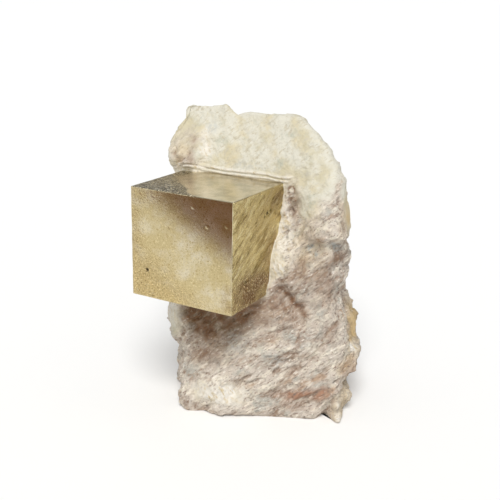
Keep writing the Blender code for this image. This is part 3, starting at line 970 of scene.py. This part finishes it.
def spread(points, spots, wander):
    """Gathered spots whose outlines wander with the noise, 0 to 1."""
    share = gathered(points, spots) * (1.0 + wander)
    return np.clip(share * STAIN_GAIN - STAIN_EDGE, 0.0, 1.0)


print("stain spots:", sum(len(spots) for spots in (RUST, TAN, BROWN_AND_SHADOW, GREY, PALE_AND_LIT)))

# %% Paint the stone
STAIN_WANDER = 0.5
STAIN_WANDER_WIDTH = 2.4
STAIN_SEED = 51
# The grooves round the small knobs get painted shade in the brown between these depths, as
# shares.
GROOVE_BLEND = (0.1, 0.6)
# The pale rim where the stone meets the crystal fades out over these distances.
CONTACT_REACH = (0.1, 0.5)
# Fine relief lower than 0 counts as a hollow and gets painted shade, fully so this many mm
# lower.
HOLLOW_DEPTH = 0.3
# Pale places have fewer grains, by this share.
GRAIN_LOSS = 0.5
wander = STAIN_WANDER * relief(stone_points, STAIN_WANDER_WIDTH, STAIN_SEED)
# The brown field carries painted shadow and shade as well as brown stain.
rust, tan, brown, grey = [spread(stone_points, spots, wander) for spots in (RUST, TAN, BROWN_AND_SHADOW, GREY)]
# painted shade in the grooves round the small knobs
brown = np.maximum(brown, ramp(-ringed_knobs(stone_points), *GROOVE_BLEND))
# Pale: cream patches and the lip, and painted light at the lit and highlighted spots.
pale_and_lit = np.maximum(spread(stone_points, PALE_AND_LIT, wander), lip_share(stone_points))
contact = 1.0 - ramp(beyond_crystal(stone_points)[0], *CONTACT_REACH)
rough = (1.0 - stone_smooth) * (1.0 - GRAIN_LOSS * pale_and_lit)
hollow_shade = ramp(-stone_fine, 0.0, HOLLOW_DEPTH) * rough
paint_marks(stone, "stains", [rust, tan, brown, grey])
paint_marks(stone, "surface", [rough, hollow_shade, pale_and_lit, contact])
print("rough share of the stone's points:", rough.mean().round(2))

# %% Dull corner with its painted dark reflection, brown and clean faces of the crystal
# Brown patches: middle in the crystal's own axes, reach, share.
BROWNED = (
    ((12.0, -4.0, -9.0), (3.0, 9.0, 4.0), 1.0),
    ((12.0, 5.0, -3.0), (3.0, 4.0, 5.0), 0.5),
    ((12.0, 6.0, 9.0), (3.0, 6.0, 2.4), 0.5),
)
# A place belongs to a face where its share of the way out is within this of the largest.
FACE_BLEND = (0.985, 1.0)
# The top face is dull, with a painted dark reflection, beyond the line through these two
# places, and left of the first.
DULL_DARK_REFLECTION_FROM = np.array((-9.3, 0.0))
DULL_DARK_REFLECTION_TO = np.array((-0.8, -8.5))
DULL_DARK_REFLECTION_WANDER = 0.6
DULL_DARK_REFLECTION_WIDTH = 2.5
DULL_DARK_REFLECTION_SEED = 57
DULL_DARK_REFLECTION_BLEND = (-0.5, 0.5)


def face_shares(points):
    """How much each place belongs to the front, to the top and to the tarnished sides: a
    ramp of |x|, |y| and |z|, each over half the cube's own and over the largest of them."""
    outward = np.abs(points) / (CRYSTAL_SIZE / 2)
    x, y, z = np.moveaxis(outward / outward.max(axis=-1, keepdims=True), -1, 0)
    top = ramp(z, *FACE_BLEND) * (points[..., 2] > 0)
    front = ramp(y, *FACE_BLEND) * (points[..., 1] < 0) * (1.0 - top)
    return front, top, 1.0 - front - top


def dull_dark_reflection_share(points):
    """1 on the top face's dull corner, which carries a painted dark reflection: the signed
    distance beyond its two borders, ramped.
    """
    along_line = (DULL_DARK_REFLECTION_TO - DULL_DARK_REFLECTION_FROM) / np.linalg.norm(DULL_DARK_REFLECTION_TO - DULL_DARK_REFLECTION_FROM)
    gap = points[..., :2] - DULL_DARK_REFLECTION_FROM
    beyond_line = gap[..., 0] * along_line[1] - gap[..., 1] * along_line[0]
    distance = np.maximum(beyond_line, -gap[..., 0])
    distance = distance + DULL_DARK_REFLECTION_WANDER * relief(points, DULL_DARK_REFLECTION_WIDTH, DULL_DARK_REFLECTION_SEED)
    return ramp(distance, *DULL_DARK_REFLECTION_BLEND) * face_shares(points)[1]


print("brown patches of the crystal:", len(BROWNED))

# %% Paint the crystal
# The worn rim along an edge, in mm, and the depths in mm over which a pit darkens with
# painted shade.
WORN_WIDTH = 0.4
PIT_DEPTHS = (0.05, 0.25)
TARNISH_WANDER = 0.5
TARNISH_WIDTH = 2.0
TARNISH_SEED = 53
box_kept = box_points[kept]
# On a face the nearest face is 0 away, so the second nearest gives the way to an edge.
from_faces = np.sort(CRYSTAL_SIZE / 2 - np.abs(box_kept), axis=-1)
edge = 1.0 - ramp(from_faces[:, 1], 0.0, WORN_WIDTH)
pit_shade = ramp(-crystal_height, *PIT_DEPTHS)
tarnish = spread(box_kept, BROWNED, TARNISH_WANDER * relief(box_kept, TARNISH_WIDTH, TARNISH_SEED))
paint_marks(crystal, "surface", [crystal_grainy, edge, pit_shade, tarnish])
paint_marks(crystal, "faces", [*face_shares(box_kept), dull_dark_reflection_share(box_kept)])
print("grainy share of the crystal's points:", crystal_grainy.mean().round(2))

# %% [markdown]
# ## The socket
#
# The stone grew round the back of the crystal. The same cube, a hair smaller, is cut out of
# the stone with a Boolean, so the two meet without a gap and the stone is still one closed
# skin.

# %% Cut the socket
SOCKET_GRIP = 0.12


def cut_socket(stone):
    """The stone less a cube that is smaller than the crystal by the grip, applied."""
    bpy.ops.mesh.primitive_cube_add(size=1.0)
    cutter = bpy.context.object
    corners = np.array([vertex.co for vertex in cutter.data.vertices])
    corners = in_frame(corners * (CRYSTAL_SIZE - 2 * SOCKET_GRIP)) * MM
    cutter.data.vertices.foreach_set("co", corners.ravel())
    socket = stone.modifiers.new("socket", "BOOLEAN")
    socket.operation = "DIFFERENCE"
    socket.solver = "MANIFOLD"
    socket.object = cutter
    graph = bpy.context.evaluated_depsgraph_get()
    cut = bpy.data.meshes.new_from_object(stone.evaluated_get(graph))
    stone.modifiers.clear()
    stone.data = cut
    bpy.data.objects.remove(cutter)


cut_socket(stone)
print("stone after the cut:", len(stone.data.polygons), "faces")

# %% [markdown]
# ## Layers of colour and of bump
#
# Neither marl nor pyrite has one colour. Both are built up like a painting, from a ground
# through patches to grains, and each layer lies only where its mark is. Wiring each layer by
# hand would make a long script, so a material is a table of layers, and one function turns
# the table into nodes. Every layer is a noise with a width in real millimetres.

# %% From a table to nodes
PER_MM = 1.0 / MM
# Each noise has this many finer noises in it, each this share as strong as the one before.
NOISE_DETAIL = 5.0
NOISE_ROUGHNESS = 0.6
# Places of the two colours among the inputs of a colour Mix, and of its result.
MIX_UNDER = 6
MIX_OVER = 7
MIX_RESULT = 2


def masks_from(tree, names_of_marks):
    """A named output for each channel of the painted marks, and "all" for everywhere."""
    masks = {"all": 1.0}
    for marks, names in names_of_marks.items():
        painted = add_node(tree, "ShaderNodeVertexColor", layer_name=marks).outputs
        parts = add_node(tree, "ShaderNodeSeparateColor", {0: painted["Color"]}).outputs
        masks.update(zip(names, (*parts, painted["Alpha"])))
    return masks


def layered(tree, axes, masks, base, colours, bumps):
    """A colour and a normal, each built up from a table of layers.

    A layer's share is a noise of its width in mm, drawn out along the turned axes and cut
    to 0..1 between two levels, times its painted mask.
    """
    place = add_node(tree, "ShaderNodeTexCoord").outputs["Object"]
    in_mm = add_node(tree, "ShaderNodeMapping", {"Vector": place, "Scale": (PER_MM,) * 3})
    colour, normal = linear(base), None
    for mask, width, drawn, low, high, laid in (*colours, *bumps):
        cell = {"Vector": in_mm.outputs[0], "Rotation": axes, "Scale": np.array(drawn) * width}
        cells = add_node(tree, "ShaderNodeMapping", cell, vector_type="TEXTURE").outputs[0]
        finer = {"Scale": 1.0, "Detail": NOISE_DETAIL, "Roughness": NOISE_ROUGHNESS}
        field = add_node(tree, "ShaderNodeTexNoise", {"Vector": cells, **finer}).outputs["Fac"]
        levels = {"Value": field, "From Min": low, "From Max": high}
        share = add_node(
            tree, "ShaderNodeMapRange", levels, interpolation_type="SMOOTHSTEP"
        ).outputs[0]
        share = add_node(
            tree, "ShaderNodeMath", {0: share, 1: masks[mask]}, operation="MULTIPLY"
        ).outputs[0]
        if isinstance(laid, str):
            mixed = {0: share, MIX_UNDER: colour, MIX_OVER: linear(laid)}
            mixer = add_node(tree, "ShaderNodeMix", mixed, data_type="RGBA")
            colour = mixer.outputs[MIX_RESULT]
        else:
            raised = {"Height": share, "Distance": laid * MM, "Strength": 1.0}
            if normal:
                raised["Normal"] = normal
            normal = add_node(tree, "ShaderNodeBump", raised).outputs[0]
    return colour, normal


print("a layer 1 mm wide repeats about", round(PER_MM), "times in a metre")

# %% [markdown]
# ## Marl, broken by hand
#
# Marl is mud and lime, dried to a soft stone. A joint face is smooth, cream and faintly
# mottled. A fresh break is matt and granular: pinkish grey with cream crests and rusty stains
# where water ran; its hollows are darkened brown with painted shade, and its finest grains
# carry painted shade in their low places and painted highlight on their crests. It has no
# gloss at all, so the colour and the bump do the work, and both change with the kind of
# surface underneath.

# %% Layers of the marl
# How drawn out a layer is along the ridges, to the back, and across the ridges.
ROUND = (1.0, 1.0, 1.0)
DRAWN = (3.0, 1.0, 1.0)
WRINKLED = (1.0, 1.0, 3.5)
# Real grains of marl are finer and would not show, so they are drawn this coarse.
GRAIN_WIDTH = 0.36
MARL_GROUND = "#dad6c7"
# Mask, width in mm, how drawn out, low level, high level, colour.
MARL_COLOURS = (
    # joint face: tan and grey-green mottles
    ("all", 7.0, ROUND, 0.45, 0.62, "#cdc4a8"),
    ("all", 3.0, ROUND, 0.54, 0.72, "#bfbfae"),
    ("all", 4.2, ROUND, 0.50, 0.72, "#d5caac"),
    ("all", 0.6, DRAWN, 0.53, 0.66, "#c8c0ab"),
    # broken face: pinkish grey, cream crests, grey and brown patches
    ("rough", 1.6, ROUND, 0.20, 0.50, "#d5c9bb"),
    ("rough", 1.4, DRAWN, 0.50, 0.63, "#eee4d2"),
    ("rough", 4.5, ROUND, 0.52, 0.68, "#bdb9ae"),
    ("rough", 2.4, DRAWN, 0.54, 0.70, "#bca38c"),
    # painted shade in the hollows of the fine relief
    ("hollow_shade", 1.0, DRAWN, 0.30, 0.60, "#b5a292"),
    # cream on the crests of the finest bump: painted highlight
    ("rough", GRAIN_WIDTH, DRAWN, 0.57, 0.70, "#f1e9dd"),
    # stains; the brown also holds painted shadow and shade, and the pale painted light
    ("rust", 1.3, DRAWN, 0.25, 0.60, "#ab846c"),
    ("tan", 1.2, ROUND, 0.10, 0.45, "#cbb183"),
    # brown: stain, with painted shadow under the crystal and painted shade in the grooves
    ("brown", 1.2, DRAWN, 0.10, 0.50, "#8b6a50"),
    ("grey", 0.9, ROUND, 0.36, 0.60, "#bec0bb"),
    # pale: cream, and painted light on lit facets and highlights
    ("pale_and_lit", 1.2, ROUND, 0.20, 0.55, "#efe9de"),
    ("pale_and_lit", 0.6, WRINKLED, 0.50, 0.66, "#cdbb96"),
    # painted shade in the hollows, then dark and pale grains over the stains; the grains follow
    # the finest bump, so they are painted shade in its low places and painted highlight on its
    # crests
    ("hollow_shade", 0.7, DRAWN, 0.50, 0.36, "#97816e"),
    ("rough", GRAIN_WIDTH, DRAWN, 0.455, 0.33, "#937f72"),
    ("rough", GRAIN_WIDTH, DRAWN, 0.57, 0.85, "#f1e9dd"),
    ("contact", 1.0, ROUND, 0.00, 0.30, "#e6dfd0"),
)
# The same, with a depth in mm.
MARL_BUMPS = (
    ("all", 1.6, ROUND, 0.30, 0.70, 0.18),
    ("all", 0.5, DRAWN, 0.34, 0.66, 0.05),
    ("rough", 0.9, DRAWN, 0.34, 0.66, 0.18),
    ("rough", GRAIN_WIDTH, DRAWN, 0.34, 0.66, 0.06),
    ("pale_and_lit", 0.6, WRINKLED, 0.30, 0.70, 0.12),
)
print("marl layers:", len(MARL_COLOURS), "of colour and", len(MARL_BUMPS), "of bump")

# %% The marl material
# A break through dried mud scatters the light, and next to none of it is gloss.
MARL_ROUGHNESS = 0.95
MARL_SPECULAR = 0.25


def marl_material():
    """Broken marl, matt: mottles, stains, painted shade and light, and grains over a cream ground.
    """
    marl, tree, shader = new_material("marl broken by hand")
    names = {
        "stains": ("rust", "tan", "brown", "grey"),
        "surface": ("rough", "hollow_shade", "pale_and_lit", "contact"),
    }
    masks = masks_from(tree, names)
    ridges = (0.0, -RIDGE_RISE, 0.0)
    colour, normal = layered(tree, ridges, masks, MARL_GROUND, MARL_COLOURS, MARL_BUMPS)
    tree.links.new(colour, shader.inputs["Base Color"])
    tree.links.new(normal, shader.inputs["Normal"])
    shader.inputs["Roughness"].default_value = MARL_ROUGHNESS
    shader.inputs["Specular IOR Level"].default_value = MARL_SPECULAR
    return marl


stone.data.materials.clear()
stone.data.materials.append(marl_material())
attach(stone, "root")
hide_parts("marl_matrix")
print("marl:", len(stone.data.materials[0].node_tree.nodes), "nodes")

# %% [markdown]
# ## Pyrite, as grown
#
# Pyrite is a metal to the eye: pale brass, with colour only in its reflections. A clean
# growth face is a soft mirror. Where the face is grainy the reflection breaks into sparkle,
# and the thin tarnish turns it browner.

# %% Layers of the pyrite
# How drawn out a layer is along the crystal's own x, y and z, which lean by the tilt.
STREAKED = (1.0, 4.0, 1.0)
SPECKLED = (1.0, 2.5, 1.0)
STREAK_TILT = math.radians(33.0)
PYRITE_GROUND = "#e0d7c0"
# Mask, width in mm, how drawn out, low level, high level, colour.
PYRITE_COLOURS = (
    ("all", 6.0, ROUND, 0.42, 0.62, "#dacfb0"),
    ("front", 5.0, ROUND, 0.30, 0.60, "#cab98c"),
    ("front", 0.35, ROUND, 0.56, 0.68, "#ab9462"),
    ("front", 0.35, ROUND, 0.44, 0.32, "#e6d6a8"),
    ("top", 3.0, ROUND, 0.42, 0.66, "#c0b7a0"),
    ("top", 0.8, ROUND, 0.55, 0.70, "#cbc3b0"),
    # the dull corner: painted dark reflection, with a dark and pale speckled grain
    ("dull_dark_reflection", 3.0, ROUND, 0.00, 0.30, "#a9a085"),
    ("dull_dark_reflection", 0.5, SPECKLED, 0.51, 0.58, "#4a4334"),
    ("dull_dark_reflection", 0.5, SPECKLED, 0.46, 0.40, "#fbf3da"),
    ("sides", 3.0, ROUND, 0.00, 0.30, "#decc92"),
    ("sides", 2.4, STREAKED, 0.48, 0.68, "#a8935a"),
    ("sides", 0.8, STREAKED, 0.53, 0.68, "#947e48"),
    ("sides", 0.8, STREAKED, 0.46, 0.34, "#f3e7b6"),
    ("brown", 1.0, ROUND, 0.15, 0.50, "#8d6e48"),
    ("brown", 0.4, ROUND, 0.54, 0.62, "#f3e4b8"),
    ("grainy", 0.5, ROUND, 0.20, 0.45, "#d5be88"),
    ("grainy", 0.34, ROUND, 0.54, 0.68, "#917548"),
    ("grainy", 0.34, ROUND, 0.46, 0.36, "#f7e4b0"),
    ("edge", 0.5, ROUND, 0.30, 0.80, "#d3c59f"),
    # painted shade in the deep pits
    ("pit_shade", 0.5, ROUND, 0.00, 0.30, "#2e241b"),
)
# The same, with a depth in mm.
PYRITE_BUMPS = (
    ("grainy", 0.45, ROUND, 0.30, 0.70, 0.11),
    ("dull_dark_reflection", 0.6, SPECKLED, 0.30, 0.70, 0.16),
    ("sides", 1.6, STREAKED, 0.30, 0.70, 0.22),
    ("sides", 0.6, STREAKED, 0.30, 0.70, 0.10),
    ("brown", 0.4, ROUND, 0.30, 0.70, 0.08),
    ("all", 0.6, ROUND, 0.20, 0.80, 0.004),
)
print("pyrite layers:", len(PYRITE_COLOURS), "of colour and", len(PYRITE_BUMPS), "of bump")

# %% The pyrite material
# A clean growth face mirrors its surroundings softly, and a grainy one is duller.
CLEAN_ROUGHNESS = 0.2
GRAINY_ROUGHNESS = 0.34


def pyrite_material():
    """Natural crystal faces, metallic: clean brass, browner and coarser where it is grainy."""
    pyrite, tree, shader = new_material("pyrite as grown")
    names = {
        "surface": ("grainy", "edge", "pit_shade", "brown"),
        "faces": ("front", "top", "sides", "dull_dark_reflection"),
    }
    masks = masks_from(tree, names)
    streaks = (STREAK_TILT, 0.0, CRYSTAL_TURN)
    colour, normal = layered(tree, streaks, masks, PYRITE_GROUND, PYRITE_COLOURS, PYRITE_BUMPS)
    tree.links.new(colour, shader.inputs["Base Color"])
    tree.links.new(normal, shader.inputs["Normal"])
    rougher = {
        "Value": masks["grainy"],
        "To Min": CLEAN_ROUGHNESS,
        "To Max": GRAINY_ROUGHNESS,
    }
    roughness = add_node(tree, "ShaderNodeMapRange", rougher).outputs[0]
    tree.links.new(roughness, shader.inputs["Roughness"])
    shader.inputs["Metallic"].default_value = 1.0
    return pyrite


crystal.data.materials.append(pyrite_material())
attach(crystal, "root")
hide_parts("pyrite_crystal")
print("pyrite:", len(crystal.data.materials[0].node_tree.nodes), "nodes")

# %% [markdown]
# ## The camera
#
# The camera stands a little above the specimen, looks slightly down and leans by about a
# degree.

# %% Camera
CAMERA_PLACE = (-3.17, -174.83, 89.09)
CAMERA_PITCH = math.radians(17.42)
CAMERA_ROLL = math.radians(1.30)
SENSOR_MM = 36.0
LENS_MM = 59.76
# Nothing nearer than this, in metres, is drawn.
NEAREST = 0.001


def camera_matrix():
    """Looks along +Y, tipped down by the pitch, and rolled about its own axis."""
    forward = Vector((0.0, math.cos(CAMERA_PITCH), -math.sin(CAMERA_PITCH)))
    level = Vector((1.0, 0.0, 0.0))
    upright = Vector((0.0, math.sin(CAMERA_PITCH), math.cos(CAMERA_PITCH)))
    right = level * math.cos(CAMERA_ROLL) + upright * math.sin(CAMERA_ROLL)
    up = upright * math.cos(CAMERA_ROLL) - level * math.sin(CAMERA_ROLL)
    placed = Matrix((right, up, -forward)).transposed().to_4x4()
    placed.translation = Vector(CAMERA_PLACE) * MM
    return placed


lens = bpy.data.cameras.new("camera")
lens.sensor_width = SENSOR_MM
lens.lens = LENS_MM
lens.clip_start = NEAREST
camera = bpy.data.objects.new("camera", lens)
camera.matrix_world = camera_matrix()
bpy.context.scene.collection.objects.link(camera)
bpy.context.scene.camera = camera
bpy.context.scene.view_settings.view_transform = "Standard"
print("camera at", CAMERA_PLACE, "mm")

# %% [markdown]
# ## The studio
#
# A specimen is shown on a plain pale floor, under a large soft light from above and in front.
# A polished face shows what stands before it, so two dark cards stand beside the specimen,
# outside the view. They show in the crystal and nowhere else.

# %% Floor
# Half its width, so that it reaches past the edge of the view.
FLOOR_HALF = 40000.0
FLOOR_COLOUR = "#fafaf9"


def plain_material(name, code):
    """One colour with no gloss at all."""
    made, _, shader = new_material(name)
    shader.inputs["Base Color"].default_value = linear(code)
    shader.inputs["Roughness"].default_value = 1.0
    shader.inputs["Specular IOR Level"].default_value = 0.0
    return made


def flat_sheet(name, corners, surface):
    """One four-cornered face for the studio."""
    sheet = make_piece(name, np.array(corners), [[0, 1, 2, 3]])
    sheet.data.materials.append(surface)
    return sheet


floor_corners = FLOOR_HALF * np.array([(-1, -1, 0), (1, -1, 0), (1, 1, 0), (-1, 1, 0)])
flat_sheet("floor", floor_corners, plain_material("painted board, matt", FLOOR_COLOUR))
print("floor:", round(2 * FLOOR_HALF * MM), "m wide")

# %% Light from all sides, and the key light
WORLD_COLOUR = "#ffffff"
WORLD_STRENGTH = 0.46
KEY_STRENGTH = 2.45
KEY_SPREAD = math.radians(26.0)
# The key light comes from this far round to the left of the front, and this far up.
KEY_ROUND = math.radians(4.0)
KEY_HEIGHT = math.radians(50.0)
world = bpy.data.worlds.new("studio")
bpy.context.scene.world = world
world.use_nodes = True
background = world.node_tree.nodes["Background"]
background.inputs["Color"].default_value = linear(WORLD_COLOUR)
background.inputs["Strength"].default_value = WORLD_STRENGTH

key = bpy.data.lights.new("key light", "SUN")
key.energy = KEY_STRENGTH
key.angle = KEY_SPREAD
key_light = bpy.data.objects.new("key light", key)
key_light.rotation_euler = (math.pi / 2 - KEY_HEIGHT, 0.0, -KEY_ROUND)
bpy.context.scene.collection.objects.link(key_light)
print("key light", round(math.degrees(KEY_HEIGHT)), "degrees up")

# %% Cards that show in the crystal
CARD_DISTANCE = 30.0
# Corners of what each card darkens, in the crystal's own axes, the face's direction, and
# the card's colour.
FRONT_CARD = ((-14.0, -12.0, 14.0), (1.0, -12.0, 5.4), (20.0, -12.0, -4.0), (20.0, -12.0, 20.0))
FRONT_WAY = (0.0, -1.0, 0.0)
FRONT_CARD_COLOUR = "#94715f"
BACK_CARD = ((-14.0, -14.0, 11.5), (14.0, -14.0, 11.5), (14.0, 14.0, 11.5), (-14.0, 14.0, 11.5))
BACK_WAY = (0.0, 0.0, 1.0)
BACK_CARD_COLOUR = "#433d36"


def card_corners(corners, way):
    """Where the card has to be to show at these places of a face: each line of sight is
    turned by the mirror law, r = d - 2 (d . n) n, and followed to the card's distance."""
    places = in_frame(np.array(corners))
    normal = in_frame(np.array(way)) - CRYSTAL_CENTRE
    sight = places - np.array(CAMERA_PLACE)
    mirrored = sight - 2.0 * (sight @ normal)[:, None] * normal
    return places + mirrored * (CARD_DISTANCE / (mirrored @ normal))[:, None]


def make_card(name, corners, way, code):
    """A dark card that only reflections can see."""
    surface = plain_material("dyed card, uncoated", code)
    card = flat_sheet(name, card_corners(corners, way), surface)
    card.visible_camera = False
    card.visible_diffuse = False
    card.visible_shadow = False
    return card


make_card("front card", FRONT_CARD, FRONT_WAY, FRONT_CARD_COLOUR)
make_card("back card", BACK_CARD, BACK_WAY, BACK_CARD_COLOUR)
print("cards", CARD_DISTANCE, "mm in front of the faces that show them")
